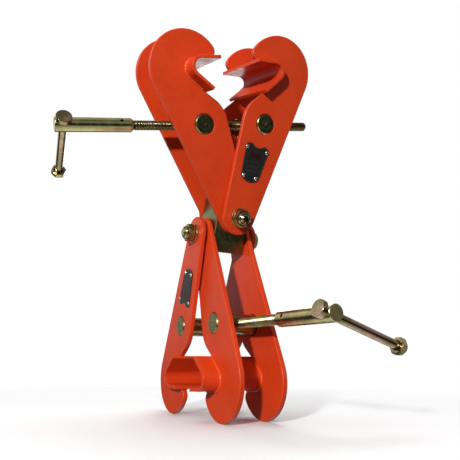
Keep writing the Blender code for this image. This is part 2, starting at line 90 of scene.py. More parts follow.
# The round handle, its roll pin and its sliding bar.
HANDLE_RADIUS = 6.8 * MM
HANDLE_START = -98.3 * MM
HANDLE_LENGTH = 72.2 * MM
HANDLE_BORE = 4.3 * MM
HANDLE_BORE_DEPTH = 18.0 * MM
BAR_HOLE_X = -162.5 * MM
BAR_RADIUS = 3.7 * MM
BAR_HOLE_RADIUS = 3.95 * MM
BAR_HEAD_RADIUS = 7.3 * MM
BAR_HEAD_THICKNESS = 4.6 * MM
BAR_HEAD_START = 7.1 * MM
BAR_NUT_FLATS = 13.0 * MM
BAR_NUT_LOW = -77.0 * MM
BAR_NUT_HEX = 5.4 * MM
BAR_NUT_COLLAR = 2.6 * MM
BAR_NUT_COLLAR_RADIUS = 5.3 * MM
BAR_END_PROUD = 1.2 * MM
PIN_RADIUS = 1.4 * MM
PIN_BORE = 0.85 * MM
PIN_HOLE_RADIUS = 1.75 * MM
PIN_DEPTH = 1.1 * MM
PIN_END = 3.4 * MM

# Block, pivot bolts, nuts and washers.
BLOCK_WIDTH = 37.4 * MM
BLOCK_HEIGHT = 54.4 * MM
BLOCK_EDGE = 1.4 * MM
AXIS_OFFSET = 12.4 * MM
BOLT_RADIUS = 5.0 * MM
BOLT_BORE = 5.3 * MM
BOLT_END = 46.4 * MM
BOLT_THREAD_LENGTH = 16.0 * MM
HEX_FLATS = 17.0 * MM
HEAD_START = 35.0 * MM
BOLT_HEAD_THICKNESS = 6.4 * MM
HEAD_COLLAR_RADIUS = 8.0 * MM
NUT_HEX_THICKNESS = 7.0 * MM
NUT_COLLAR_RADIUS = 6.8 * MM
NUT_COLLAR_THICKNESS = 2.9 * MM
WASHER_RADIUS = 10.0 * MM
WASHER_THICKNESS = 2.0 * MM
WASHER_START = 32.7 * MM
SPACER_RADIUS = 9.6 * MM
SPACER_START = 24.7 * MM
SPACER_END = 27.1 * MM

# Nameplate and rivets.
NAMEPLATE_THICKNESS = 0.8 * MM
NAMEPLATE_U = 1.5 * MM
NAMEPLATE_TOP = 77.5 * MM
NAMEPLATE_BOTTOM = 38.0 * MM
NAMEPLATE_TOP_HALF_WIDTH = 14.0 * MM
NAMEPLATE_BOTTOM_HALF_WIDTH = 10.4 * MM
NAMEPLATE_BOTTOM_RADIUS = 14.5 * MM
NAMEPLATE_CORNER = 3.0 * MM
NAMEPLATE_DIP_RADIUS = 9.0 * MM
NAMEPLATE_DIP_DEPTH = 3.3 * MM
NAMEPLATE_EDGE = 0.15 * MM
NAMEPLATE_SHOULDER = 1.5 * MM
NAMEPLATE_LIFT = 0.15 * MM
BORDER_OUTSIDE = 0.5 * MM
BORDER_INSIDE = 1.1 * MM
TITLE_PLACE = (-NAMEPLATE_U, 65.5 * MM)
TITLE_SIZE = (15.0 * MM, 6.5 * MM)
FIELD_ROWS = ((57.0 * MM, 16.0 * MM), (51.5 * MM, 14.5 * MM))
FIELD_BOX_HEIGHT = 4.0 * MM
FIELD_LINE = 0.35 * MM
RAISED_THICKNESS = 0.24 * MM
RAISED_EDGE = 0.04 * MM
RIVET_TOP = (11.8 * MM, 72.4 * MM)
RIVET_BOTTOM = (7.4 * MM, 43.4 * MM)
RIVET_RADIUS = 2.1 * MM
RIVET_HEIGHT = 1.1 * MM
RIVET_SHANK_RADIUS = 1.1 * MM
RIVET_SHANK_END = -3.0 * MM

STEPS = 72
MERGE = 0.000002

# Camera.
CAMERA_PLACE = (-0.1807, -0.4078, 0.0573)
CAMERA_TURN = (104.83, -0.46, -28.49)
CAMERA_LENS = 37.61

# The floor fades into the white backdrop between these distances from its middle.
FLOOR_HALF_WIDTH = 6.0
FLOOR_HEIGHT = -0.2 * MM
FLOOR_FADE = (0.16, 0.62)
FLOOR_COLOUR = (0.92, 0.92, 0.92, 1.0)

# Square area lights: name, direction from the object, distance, size and power.
SOFTBOXES = (
    ("key", (-0.70, -0.66, 0.205), 1.5, 0.10, 26.0),
    ("top", (0.1, 0.05, 1.0), 1.6, 1.2, 20.0),
    ("back", (0.5, 0.8, 0.45), 1.8, 0.9, 6.0),
)
LIGHT_TARGET = (0.0, 0.0, 0.2)

# What the shiny pieces reflect: grey levels from straight down (0) to straight up (1), dimmed on one side.
STUDIO_LEVELS = (
    (0.0, 0.85), (0.17, 0.85), (0.25, 0.05), (0.45, 0.015),
    (0.50, 0.30), (0.58, 0.50), (0.72, 0.75), (0.82, 0.15), (1.0, 0.50),
)
DARK_SIDE = (0.475, -0.88, 0.0)
DIMMING_REACH = (-0.2, 0.8)
DIMMING = (1.15, 0.40)
FILL_LEVEL = 0.18

# Colours.
PAINT_TONES = ((0.56, 0.034, 0.0035), (0.64, 0.046, 0.0060))
PAINT_DUST = (0.76, 0.10, 0.028)
# Near-black painted shade for the roots of threads.
THREAD_ROOT_SHADE = (0.020, 0.017, 0.010)
TAN = (0.50, 0.35, 0.24)
YELLOW = (0.54, 0.47, 0.22)
OLIVE = (0.33, 0.31, 0.13)
GREEN = (0.34, 0.38, 0.20)
BROWN = (0.30, 0.22, 0.12)
PINK = (0.60, 0.39, 0.30)
MOSS = (0.48, 0.46, 0.20)
STRAW = (0.66, 0.58, 0.28)
DARK_OLIVE = (0.24, 0.24, 0.11)
DARK_GREEN = (0.24, 0.28, 0.11)
SILVER_TONES = ((0.50, 0.50, 0.46), (0.62, 0.62, 0.58), (0.70, 0.70, 0.66), (0.60, 0.60, 0.56))
# Near-black tones for the roll pin: painted shade standing in for the shade inside its hole.
PIN_HOLE_SHADE_TONES = ((0.030, 0.028, 0.022), (0.045, 0.042, 0.034), (0.060, 0.055, 0.045), (0.050, 0.045, 0.035))


# ---------------------------------------------------------------- outlines


def arc(centre, radius, start, end, steps):
    angles = [start + (end - start) * i / steps for i in range(steps + 1)]
    return [(centre[0] + radius * cos(a), centre[1] + radius * sin(a)) for a in angles]


def circle(centre, radius, steps=STEPS):
    return arc(centre, radius, 0.0, 2 * pi, steps)[:-1]


def rounded_corner(before, corner, after, radius, steps):
    """An arc of this radius in the corner between two straight edges."""
    corner = Vector(corner)
    inward = (Vector(before) - corner).normalized()
    onward = (Vector(after) - corner).normalized()
    half = inward.angle(onward) / 2
    centre = corner + (inward + onward).normalized() * radius / sin(half)
    first = corner + inward * radius / tan(half) - centre
    last = corner + onward * radius / tan(half) - centre
    start = atan2(first.y, first.x)
    sweep = first.angle_signed(last)
    return arc(centre, radius, start, start - sweep, steps)


def softened(points, radius, steps=3, closed=False):
    """The same line with every corner rounded, as far as its edges allow."""
    result = []
    count = len(points)
    for i, corner in enumerate(points):
        if not closed and i in (0, count - 1):
            result.append(corner)
            continue
        before = Vector(points[i - 1])
        after = Vector(points[(i + 1) % count])
        here = Vector(corner)
        inward = before - here
        onward = after - here
        half = inward.angle(onward) / 2
        if half > radians(86.0):
            result.append(corner)
            continue
        room = 0.45 * min(inward.length, onward.length) * tan(half)
        result += rounded_corner(before, here, after, min(radius, room), steps)
    return result


def lip_direction(angle):
    return Vector((cos(radians(angle)), sin(radians(angle))))


def throat_line(radius, steps=20):
    """The C's line at this distance from its centre: upper lip's tip, round the throat, lower lip's tip."""
    centre = Vector(THROAT_CENTRE)
    upper = lip_direction(UPPER_LIP_ANGLE)
    lower = lip_direction(LOWER_LIP_ANGLE)
    start = radians(UPPER_LIP_ANGLE + 90.0)
    end = radians(LOWER_LIP_ANGLE + 270.0)
    bend = arc(THROAT_CENTRE, radius, start, end, steps)
    upper_tip = centre + Vector((-upper.y, upper.x)) * radius + upper * UPPER_LIP_LENGTH
    lower_tip = centre + Vector((lower.y, -lower.x)) * radius + lower * LOWER_LIP_LENGTH
    return [tuple(upper_tip)] + bend + [tuple(lower_tip)]


def back_angle():
    across, along = HEAD_CENTRE
    return atan2(along, across) + acos((FOOT_RADIUS - HEAD_RADIUS) / hypot(across, along))


def mouth_angle():
    return atan2(SHOULDER[1], SHOULDER[0]) - acos(FOOT_RADIUS / hypot(*SHOULDER))


def nose_point(notch):
    """Where the notch's upper edge, drawn on, meets the head's arc."""
    lip = lip_direction(UPPER_LIP_ANGLE)
    start = Vector(notch[-2])
    offset = start - Vector(HEAD_CENTRE)
    along = -offset.dot(lip) + (HEAD_RADIUS**2 - offset.length_squared + offset.dot(lip) ** 2) ** 0.5
    return start + lip * along


def plate_outline():
    """The side plate's outline, anticlockwise from the mouth side of the foot."""
    foot_mouth = (FOOT_RADIUS * cos(mouth_angle()), FOOT_RADIUS * sin(mouth_angle()))
    notch = throat_line(THROAT_RADIUS + JAW_THICKNESS + NOTCH_GAP)[::-1]
    shoulder = rounded_corner(foot_mouth, SHOULDER, notch[0], SHOULDER_RADIUS, 16)
    nose = nose_point(notch)
    centre = Vector(HEAD_CENTRE)
    nose_angle = atan2(nose.y - centre.y, nose.x - centre.x)
    ahead = arc(HEAD_CENTRE, HEAD_RADIUS, nose_angle + 0.3, back_angle(), 72)
    nose_arc = rounded_corner(notch[-2], tuple(nose), ahead[0], NOSE_RADIUS, 10)
    foot = arc((0.0, 0.0), FOOT_RADIUS, back_angle(), 2 * pi + mouth_angle(), 48)
    return shoulder + notch[:-1] + nose_arc + ahead + foot


def bracket_outline():
    inside = throat_line(THROAT_RADIUS)
    outside = throat_line(THROAT_RADIUS + JAW_THICKNESS)
    return inside + outside[::-1]


def weld_line():
    """The bead's route: along the jaw plate's outer face, from its lower lip to the side plate's nose."""
    line = throat_line(THROAT_RADIUS + JAW_THICKNESS)[::-1]
    nose = nose_point(throat_line(THROAT_RADIUS + JAW_THICKNESS + NOTCH_GAP)[::-1])
    lip = lip_direction(UPPER_LIP_ANGLE)
    line[-1] = tuple(nose - lip * (NOSE_RADIUS * 0.8))
    lower = lip_direction(LOWER_LIP_ANGLE)
    line[0] = tuple(Vector(line[0]) - lower * (1.2 * WELD_RADIUS))
    return line


def rivet_places():
    places = []
    for across, height in (RIVET_TOP, RIVET_BOTTOM):
        places += [(NAMEPLATE_U - across, height), (NAMEPLATE_U + across, height)]
    return places


def nameplate_outline():
    """A tapering plate with a concave notch in its top end and a bowed bottom end."""
    top = NAMEPLATE_TOP
    u = NAMEPLATE_U
    dip_half = (2 * NAMEPLATE_DIP_RADIUS * NAMEPLATE_DIP_DEPTH - NAMEPLATE_DIP_DEPTH**2) ** 0.5
    dip_centre = (u, top + NAMEPLATE_DIP_RADIUS - NAMEPLATE_DIP_DEPTH)
    dip_angle = atan2(top - dip_centre[1], dip_half)
    dip = arc(dip_centre, NAMEPLATE_DIP_RADIUS, dip_angle, -pi - dip_angle, 16)
    wide, slim = NAMEPLATE_TOP_HALF_WIDTH, NAMEPLATE_BOTTOM_HALF_WIDTH
    bow_centre = (u, NAMEPLATE_BOTTOM + NAMEPLATE_BOTTOM_RADIUS)
    bow_angle = acos(slim / NAMEPLATE_BOTTOM_RADIUS)
    bow = arc(bow_centre, NAMEPLATE_BOTTOM_RADIUS, -pi + bow_angle, -bow_angle, 24)
    right = rounded_corner(bow[-1], (u + wide, top - NAMEPLATE_SHOULDER), dip[0], NAMEPLATE_CORNER, 8)
    left = rounded_corner(dip[-1], (u - wide, top - NAMEPLATE_SHOULDER), bow[0], NAMEPLATE_CORNER, 8)
    return bow + right + dip + left


def inset(loop, distance):
    """The loop moved inwards by this distance, for a loop drawn anticlockwise with gentle corners."""
    result = []
    for i, corner in enumerate(loop):
        before = Vector(loop[i - 1])
        after = Vector(loop[(i + 1) % len(loop)])
        along = (after - before).normalized()
        result.append((corner[0] - along.y * distance, corner[1] + along.x * distance))
    return result


def mirrored(loop):
    return [(-x, y) for x, y in reversed(loop)]


def box_outline(centre, width, height, radius):
    low_x, high_x = centre[0] - width / 2, centre[0] + width / 2
    low_y, high_y = centre[1] - height / 2, centre[1] + height / 2
    corners = [(low_x, low_y), (high_x, low_y), (high_x, high_y), (low_x, high_y)]
    return softened(corners, radius, 5, closed=True)


# ---------------------------------------------------------------- meshes


def weld(mesh, distance=MERGE):
    shape = bmesh.new()
    shape.from_mesh(mesh)
    bmesh.ops.remove_doubles(shape, verts=shape.verts, dist=distance)
    bmesh.ops.dissolve_degenerate(shape, edges=shape.edges, dist=distance)
    bmesh.ops.recalc_face_normals(shape, faces=shape.faces)
    shape.to_mesh(mesh)
    shape.free()


def evaluated_mesh(obj):
    """A new mesh of the object with its modifiers applied. The object is removed."""
    bpy.context.view_layer.update()
    graph = bpy.context.evaluated_depsgraph_get()
    mesh = bpy.data.meshes.new_from_object(obj.evaluated_get(graph))
    data = obj.data
    bpy.data.objects.remove(obj, do_unlink=True)
    if isinstance(data, bpy.types.Curve):
        bpy.data.curves.remove(data)
    return mesh


def helper(mesh, place=None):
    obj = bpy.data.objects.new("helper", mesh)
    bpy.context.scene.collection.objects.link(obj)
    if place is not None:
        obj.matrix_world = place
    return obj


def combined(mesh, other, operation, place=None):
    """The mesh cut by, joined to, or kept within another mesh."""
    main = helper(mesh)
    tool = helper(other, place)
    step = main.modifiers.new(operation, "BOOLEAN")
    step.operation = operation
    step.object = tool
    step.solver = "EXACT"
    result = evaluated_mesh(main)
    bpy.data.objects.remove(tool, do_unlink=True)
    return result


def flat(loops, thickness, edge, turns=3):
    """A flat piece in the XY plane with rounded edges: the first loop is its outline, the rest are holes."""
    curve = bpy.data.curves.new("flat", "CURVE")
    curve.dimensions = "2D"
    curve.fill_mode = "BOTH"
    curve.extrude = thickness / 2 - edge
    curve.bevel_depth = edge
    curve.bevel_resolution = turns
    curve.offset = -edge
    for loop in loops:
        spline = curve.splines.new("POLY")
        spline.points.add(len(loop) - 1)
        for point, (x, y) in zip(spline.points, loop):
            point.co = (x, y, 0.0, 1.0)
        spline.use_cyclic_u = True
    mesh = evaluated_mesh(helper(curve))
    weld(mesh)
    return mesh


def turned(profile, steps=STEPS):
    """A turned piece about Z, from (radius, z) pairs. A profile that starts off the axis is a closed ring."""
    closed = profile[0][0] > 0.0
    verts, faces = [], []
    for radius, z in profile:
        for k in range(steps):
            angle = 2 * pi * k / steps
            verts.append((radius * cos(angle), radius * sin(angle), z))
    rows = len(profile) if closed else len(profile) - 1
    for row in range(rows):
        after = (row + 1) % len(profile)
        for k in range(steps):
            onward = (k + 1) % steps
            faces.append((row * steps + k, after * steps + k, after * steps + onward, row * steps + onward))
    mesh = bpy.data.meshes.new("turned")
    mesh.from_pydata(verts, [], faces)
    weld(mesh)
    return mesh


def cylinder(radius, low, high, steps=STEPS):
    return turned([(0.0, high), (radius, high), (radius, low), (0.0, low)], steps)


def hexagon(flats, low, high, both_ends):
    """A hexagon with slightly rounded edges and turned chamfers, on its top end or on both."""
    shape = bmesh.new()
    corner = flats / 2 / cos(pi / 6)
    bmesh.ops.create_cone(shape, cap_ends=True, segments=6, radius1=corner, radius2=corner, depth=high - low)
    bmesh.ops.rotate(shape, verts=shape.verts, matrix=Matrix.Rotation(pi / 6, 3, "Z"))
    bmesh.ops.translate(shape, verts=shape.verts, vec=(0.0, 0.0, (low + high) / 2))
    upright_edges = [e for e in shape.edges if abs(e.verts[0].co.z - e.verts[1].co.z) > 0.5 * (high - low)]
    bmesh.ops.bevel(shape, geom=upright_edges, offset=0.035 * flats, segments=3, affect="EDGES", profile=0.5)
    mesh = bpy.data.meshes.new("hexagon")
    shape.to_mesh(mesh)
    shape.free()
    reach = corner * 1.02
    face = flats / 2 * 0.97
    drop = (reach - face) * tan(radians(30.0))
    top = [(0.0, high), (face, high), (reach, high - drop)]
    bottom = [(reach, low + drop), (face, low), (0.0, low)] if both_ends else [(reach, low), (0.0, low)]
    return combined(mesh, turned(top + bottom), "INTERSECT")


def thread_height(phase):
    """A thread's profile, from 0 at the root to 1 at the crest, with a narrow flat on each."""
    wave = abs(2.0 * (phase - floor(phase)) - 1.0)
    return min(1.0, max(0.0, (wave - 0.14) / 0.68))


def threaded(low, high, hand_at, plain=None, chamfer=ROD_CHAMFER, crest=THREAD_CREST, root=THREAD_ROOT):
    """A threaded rod about Z. hand_at(z) is +1 or -1. The stretch plain=(low, high) has no thread."""
    rings = ceil((high - low) / THREAD_PITCH * THREAD_RINGS)
    verts, faces = [(0.0, 0.0, low)], []
    for i in range(rings + 1):
        z = low + (high - low) * i / rings
        limit = crest - max(0.0, chamfer - (high - z)) - max(0.0, chamfer - (z - low))
        fade = 1.0
        if plain is not None:
            gap = max(plain[0] - z, z - plain[1], 0.0)
            fade = min(1.0, gap / THREAD_PITCH)
        for k in range(THREAD_SIDES):
            angle = 2 * pi * k / THREAD_SIDES
            turn = thread_height(z / THREAD_PITCH - hand_at(z) * k / THREAD_SIDES)
            radius = min(root + (crest - root) * turn * fade, limit)
            verts.append((radius * cos(angle), radius * sin(angle), z))
    verts.append((0.0, 0.0, high))
    for i in range(rings):
        for k in range(THREAD_SIDES):
            here = 1 + i * THREAD_SIDES + k
            beside = 1 + i * THREAD_SIDES + (k + 1) % THREAD_SIDES
            faces.append((here, beside, beside + THREAD_SIDES, here + THREAD_SIDES))
    last = 1 + rings * THREAD_SIDES
    for k in range(THREAD_SIDES):
        onward = (k + 1) % THREAD_SIDES
        faces.append((0, 1 + onward, 1 + k))
        faces.append((len(verts) - 1, last + k, last + onward))
    mesh = bpy.data.meshes.new("threaded")
    mesh.from_pydata(verts, [], faces)
    return mesh


def resampled(line, step):
    """Points about this far apart along a line, with both its ends."""
    points = [Vector(p) for p in line]
    result = [points[0]]
    for here, onward in zip(points, points[1:]):
        count = max(1, round((onward - here).length / step))
        result += [here.lerp(onward, i / count) for i in range(1, count + 1)]
    return result


def bead(line, seed):
    """A weld bead along a line in the XY plane: a rippled tube that tapers at both ends."""
    points = resampled(line, WELD_STEP)
    curve = bpy.data.curves.new("bead", "CURVE")
    curve.dimensions = "3D"
    curve.bevel_depth = WELD_RADIUS
    curve.bevel_resolution = WELD_SIDES // 2 - 2
    curve.use_fill_caps = True
    spline = curve.splines.new("POLY")
    spline.points.add(len(points) - 1)
    for i, (point, place) in enumerate(zip(spline.points, points)):
        ripple = 0.07 * sin(2 * pi * i * WELD_STEP / WELD_RIPPLE)
        lump = 0.22 * noise.noise(Vector((i * 0.11, seed * 7.3, 0.0)))
        ends = min(1.0, (min(i, len(points) - 1 - i) + 1) / 4.0)
        point.radius = (1.0 + ripple + lump) * ends
        sway = 0.25 * WELD_RADIUS * noise.noise(Vector((i * 0.17, seed * 3.1, 5.0)))
        point.co = (place.x + sway, place.y, 0.0, 1.0)
    mesh = evaluated_mesh(helper(curve))
    weld(mesh)
    return mesh


def joined(meshes):
    """One mesh of several, each left as it stands."""
    shape = bmesh.new()
    for mesh in meshes:
        shape.from_mesh(mesh)
    result = bpy.data.meshes.new("joined")
    shape.to_mesh(result)
    shape.free()
    return result


# ---------------------------------------------------------------- materials


class Look:
    """A material being built: its nodes, its links and its Principled shader."""

    def __init__(self, name):
        self.material = bpy.data.materials.new(name)
        self.material.use_nodes = True
        self.tree = self.material.node_tree
        self.shader = self.tree.nodes["Principled BSDF"]

    def node(self, kind, **values):
        made = self.tree.nodes.new(kind)
        for key, value in values.items():
            setattr(made, key, value)
        return made

    def link(self, source, target):
        self.tree.links.new(source, target)

    def place(self):
        """The piece's own coordinates, moved by an amount of its own so that no two pieces match."""
        coordinates = self.node("ShaderNodeTexCoord")
        info = self.node("ShaderNodeObjectInfo")
        moved = self.node("ShaderNodeVectorMath", operation="ADD")
        self.link(coordinates.outputs["Object"], moved.inputs[0])
        self.link(info.outputs["Random"], moved.inputs[1])
        return moved.outputs[0]

    def noise(self, place, scale, detail=3.0, roughness=0.55, stretch=None):
        if stretch is not None:
            mapping = self.node("ShaderNodeMapping")
            mapping.inputs["Scale"].default_value = stretch
            self.link(place, mapping.inputs["Vector"])
            place = mapping.outputs["Vector"]
        made = self.node("ShaderNodeTexNoise")
        made.inputs["Scale"].default_value = scale
        made.inputs["Detail"].default_value = detail
        made.inputs["Roughness"].default_value = roughness
        self.link(place, made.inputs["Vector"])
        return made.outputs["Fac"]

    def ramp(self, source, stops):
        made = self.node("ShaderNodeValToRGB")
        elements = made.color_ramp.elements
        while len(elements) < len(stops):
            elements.new(0.5)
        for element, (position, colour) in zip(elements, stops):
            element.position = position
            element.color = (*colour, 1.0)
        self.link(source, made.inputs["Fac"])
        return made.outputs["Color"]

    def spread(self, source, low, high):
        """The source's middle range, 0.3 to 0.7, spread between two values."""
        made = self.node("ShaderNodeMapRange")
        made.inputs["From Min"].default_value = 0.3
        made.inputs["From Max"].default_value = 0.7
        made.inputs["To Min"].default_value = low
        made.inputs["To Max"].default_value = high
        self.link(source, made.inputs["Value"])
        return made.outputs["Result"]

    def mix(self, amount, first, second, blend="MIX"):
        made = self.node("ShaderNodeMix", data_type="RGBA", blend_type=blend)
        if isinstance(amount, float):
            made.inputs["Factor"].default_value = amount
        else:
            self.link(amount, made.inputs["Factor"])
        for socket, value in ((made.inputs[6], first), (made.inputs[7], second)):
            if isinstance(value, tuple):
                socket.default_value = (*value, 1.0)
            else:
                self.link(value, socket)
        return made.outputs[2]

    def bump(self, layers):
        """Stacks bumps, each (height, strength, distance)."""
        normal = None
        for height, strength, distance in layers:
            made = self.node("ShaderNodeBump")
            made.inputs["Strength"].default_value = strength
            made.inputs["Distance"].default_value = distance
            self.link(height, made.inputs["Height"])
            if normal is not None:
                self.link(normal, made.inputs["Normal"])
            normal = made.outputs["Normal"]
        self.link(normal, self.shader.inputs["Normal"])

    def set(self, **values):
        for key, value in values.items():
            self.shader.inputs[key.replace("_", " ")].default_value = value


def paint_look(name, lumps, most_dust):
    """Thick satin paint: orange peel, a little dust, and a colour that drifts."""
    look = Look(name)
    place = look.place()
    drift = look.noise(place, 26.0, 4.0)
    colour = look.ramp(drift, [(0.3, PAINT_TONES[0]), (0.7, PAINT_TONES[1])])
    specks = look.noise(place, 620.0, 2.0, 0.7)
    dust = look.spread(specks, 0.0, most_dust)
    colour = look.mix(dust, colour, PAINT_DUST)
    look.link(colour, look.shader.inputs["Base Color"])
    worn = look.noise(place, 60.0, 5.0)
    look.link(look.spread(worn, 0.30, 0.46), look.shader.inputs["Roughness"])
    look.set(Metallic=0.0, Specular_IOR_Level=0.35)
    peel = look.noise(place, 420.0, 2.0)
    waves = look.noise(place, 95.0, 2.0)
    look.bump([(waves, 0.50, 0.25 * MM), (peel, lumps, 0.12 * MM)])
    return look.material


def distance_from_axis(look):
    """How far a point lies from the piece's own Z."""
    coordinates = look.node("ShaderNodeTexCoord")
    across = look.node("ShaderNodeVectorMath", operation="MULTIPLY")
    across.inputs[1].default_value = (1.0, 1.0, 0.0)
    look.link(coordinates.outputs["Object"], across.inputs[0])
    radius = look.node("ShaderNodeVectorMath", operation="LENGTH")
    look.link(across.outputs["Vector"], radius.inputs[0])
    return radius.outputs["Value"]


def rings_of(look):
    """Fine tool marks about the piece's own Z: lines round it, and rings on its ends."""
    coordinates = look.node("ShaderNodeTexCoord")
    parts = look.node("ShaderNodeSeparateXYZ")
    look.link(coordinates.outputs["Object"], parts.inputs[0])
    total = look.node("ShaderNodeMath", operation="ADD")
    look.link(distance_from_axis(look), total.inputs[0])
    look.link(parts.outputs["Z"], total.inputs[1])
    marks = look.node("ShaderNodeTexNoise", noise_dimensions="1D")
    marks.inputs["Scale"].default_value = 2600.0
    marks.inputs["Detail"].default_value = 2.0
    look.link(total.outputs["Value"], marks.inputs["W"])
    return marks.outputs["Fac"]


def painted_root_shade(look, colour):
    """Painted shade in the bottom of a thread about the piece's own Z: the colour darkens towards near-black.
    """
    depth = look.node("ShaderNodeMapRange")
    depth.inputs["From Min"].default_value = THREAD_CREST - 0.1 * MM
    depth.inputs["From Max"].default_value = THREAD_ROOT + 0.15 * MM
    look.link(distance_from_axis(look), depth.inputs["Value"])
    return look.mix(depth.outputs["Result"], colour, THREAD_ROOT_SHADE)


def zinc_look(name, tones, rough, marks_strength, turned_marks=True, shaded_roots=False):
    """Yellow passivated zinc: its colour drifts between olive, yellow and pinkish tan."""
    look = Look(name)
    place = look.place()
    film = look.noise(place, 70.0, 4.0, 0.6)
    colour = look.ramp(film, [(0.30, tones[0]), (0.45, tones[1]), (0.58, tones[2]), (0.72, tones[3])])
    stains = look.noise(place, 350.0, 3.0)
    colour = look.mix(look.spread(stains, 0.0, 0.30), colour, tones[0])
    # With shaded_roots, painted shade darkens the thread roots towards near-black.
    if shaded_roots:
        colour = painted_root_shade(look, colour)
    look.link(colour, look.shader.inputs["Base Color"])
    wear = look.noise(place, 240.0, 4.0)
    look.link(look.spread(wear, *rough), look.shader.inputs["Roughness"])
    look.set(Metallic=1.0)
    grain = look.noise(place, 700.0, 3.0)
    layers = [(grain, 0.18, 0.06 * MM)]
    if turned_marks:
        layers.append((rings_of(look), marks_strength, 0.05 * MM))
    look.bump(layers)
    return look.material


def plate_look(name, colour, roughness):
    """Dark anodised aluminium with a fine brushed grain."""
    look = Look(name)
    place = look.place()
    grain = look.noise(place, 300.0, 3.0, stretch=(1.0, 9.0, 1.0))
    tone = tuple(1.5 * c for c in colour)
    look.link(look.ramp(grain, [(0.35, colour), (0.65, tone)]), look.shader.inputs["Base Color"])
    wear = look.noise(place, 160.0, 3.0)
    look.link(look.spread(wear, roughness - 0.06, roughness + 0.08), look.shader.inputs["Roughness"])
    look.set(Metallic=0.75)
    look.bump([(grain, 0.12, 0.03 * MM)])
    return look.material


# ---------------------------------------------------------------- placing

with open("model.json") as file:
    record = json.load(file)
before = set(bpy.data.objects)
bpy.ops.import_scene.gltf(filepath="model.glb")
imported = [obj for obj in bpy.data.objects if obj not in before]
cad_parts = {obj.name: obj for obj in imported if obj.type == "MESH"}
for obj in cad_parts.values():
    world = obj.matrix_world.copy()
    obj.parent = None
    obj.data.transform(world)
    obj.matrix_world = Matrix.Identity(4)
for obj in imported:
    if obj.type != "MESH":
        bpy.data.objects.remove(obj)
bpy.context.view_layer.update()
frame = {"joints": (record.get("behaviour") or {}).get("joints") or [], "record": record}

joints = {joint["name"]: joint for joint in frame["joints"]}
body_of = {node: body for body, nodes in frame["record"]["behaviour"]["bodies"].items() for node in nodes}


def axes(x, y, z, origin):
    """The frame with these axes, as a matrix."""
    rows = [(x[i], y[i], z[i], origin[i]) for i in range(3)]
    return Matrix([*rows, (0.0, 0.0, 0.0, 1.0)])


def joint_place(name):
    return Vector(joints[name]["pos_m"])


def joint_axis(name):
    return Vector(joints[name]["axis"]).normalized()


def moved_along_x(place, distance):
    return place @ Matrix.Translation((distance, 0.0, 0.0))


def moved_along_z(place, distance):
    return place @ Matrix.Translation((0.0, 0.0, distance))


def about_z(place, direction):
    """The frame at the same point whose Z is this direction, given in the frame's own axes."""
    return place @ Vector(direction).to_track_quat("Z", "Y").to_matrix().to_4x4()


def upright(place, y):
    """Stands a flat piece up: its Y becomes the frame's Z, and its middle plane lies at y."""
    return place @ Matrix.Translation((0.0, y, 0.0)) @ Matrix.Rotation(pi / 2, 4, "X")


def shade(mesh, sharp):
    for polygon in mesh.polygons:
        polygon.use_smooth = True
    mesh.set_sharp_from_angle(angle=radians(sharp))


def add(name, node, mesh, place, look, sharp=38.0, stands=True):
    """A finished piece on the node's body. It stands for the node unless it only goes with it."""
    mesh.name = name
    mesh.materials.clear()
    mesh.materials.append(look)
    shade(mesh, sharp)
    obj = bpy.data.objects.new(name, mesh)
    bpy.context.scene.collection.objects.link(obj)
    obj.matrix_world = place
    level = obj.modifiers.new("even_normals", "WEIGHTED_NORMAL")
    level.keep_sharp = True
    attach(obj, body_of[node])
    if stands:
        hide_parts(node)
    return obj


# ---------------------------------------------------------------- pieces


def add_arm(prefix, side, arm):
    """Two side plates, the jaw plate, and the beads that weld them together."""
    inner = side == "inner"
    face = INNER_PLATE_FACE if inner else OUTER_PLATE_FACE
    facing = (lambda loop: loop) if inner else mirrored
    reach = (joint_place(f"{prefix}_{side}_trunnion_turn") - joint_place(f"{prefix}_swing")).length
    holes = [circle((0.0, 0.0), BOLT_BORE), circle((0.0, reach), TRUNNION_RADIUS + TRUNNION_GAP)]
    for end, sign in (("nut_side", -1.0), ("head_side", 1.0)):
        node = f"{prefix}_{side}_{end}_plate"
        mesh = flat([facing(plate_outline())] + holes, PLATE_THICKNESS, PLATE_EDGE)
        add(f"{node}_look", node, mesh, upright(arm, sign * (face - PLATE_THICKNESS / 2)), paint)
        for number, y in enumerate((face, face - PLATE_THICKNESS)):
            seed = 1.0 + number + (2.0 if inner else 0.0) + (4.0 if sign > 0 else 0.0)
            mesh = bead(facing(weld_line()), seed)
            place = upright(arm, sign * y)
            add(f"{node}_weld_{number + 1}", node, mesh, place, weld_paint, 60.0, stands=False)
    node = f"{prefix}_{side}_jaw"
    mesh = flat([facing(bracket_outline())], 2 * JAW_HALF_WIDTH, JAW_EDGE)
    add(f"{node}_look", node, mesh, upright(arm, 0.0), paint)


def raised(*loops):
    """A thin figure that stands a little above the nameplate's face."""
    return flat(list(loops), RAISED_THICKNESS, RAISED_EDGE, 1)


def rivet_profile():
    """A shallow domed head on a plain shank, with the side plate's face at z = 0."""
    low = NAMEPLATE_THICKNESS + 0.02 * MM
    dome = [radians(12.0 * i) for i in range(1, 8)]
    head = [(RIVET_RADIUS * sin(a), low + RIVET_HEIGHT * cos(a)) for a in dome]
    shank = [(RIVET_SHANK_RADIUS, low), (RIVET_SHANK_RADIUS, RIVET_SHANK_END), (0.0, RIVET_SHANK_END)]
    return [(0.0, low + RIVET_HEIGHT)] + head + [(RIVET_RADIUS, low)] + shank


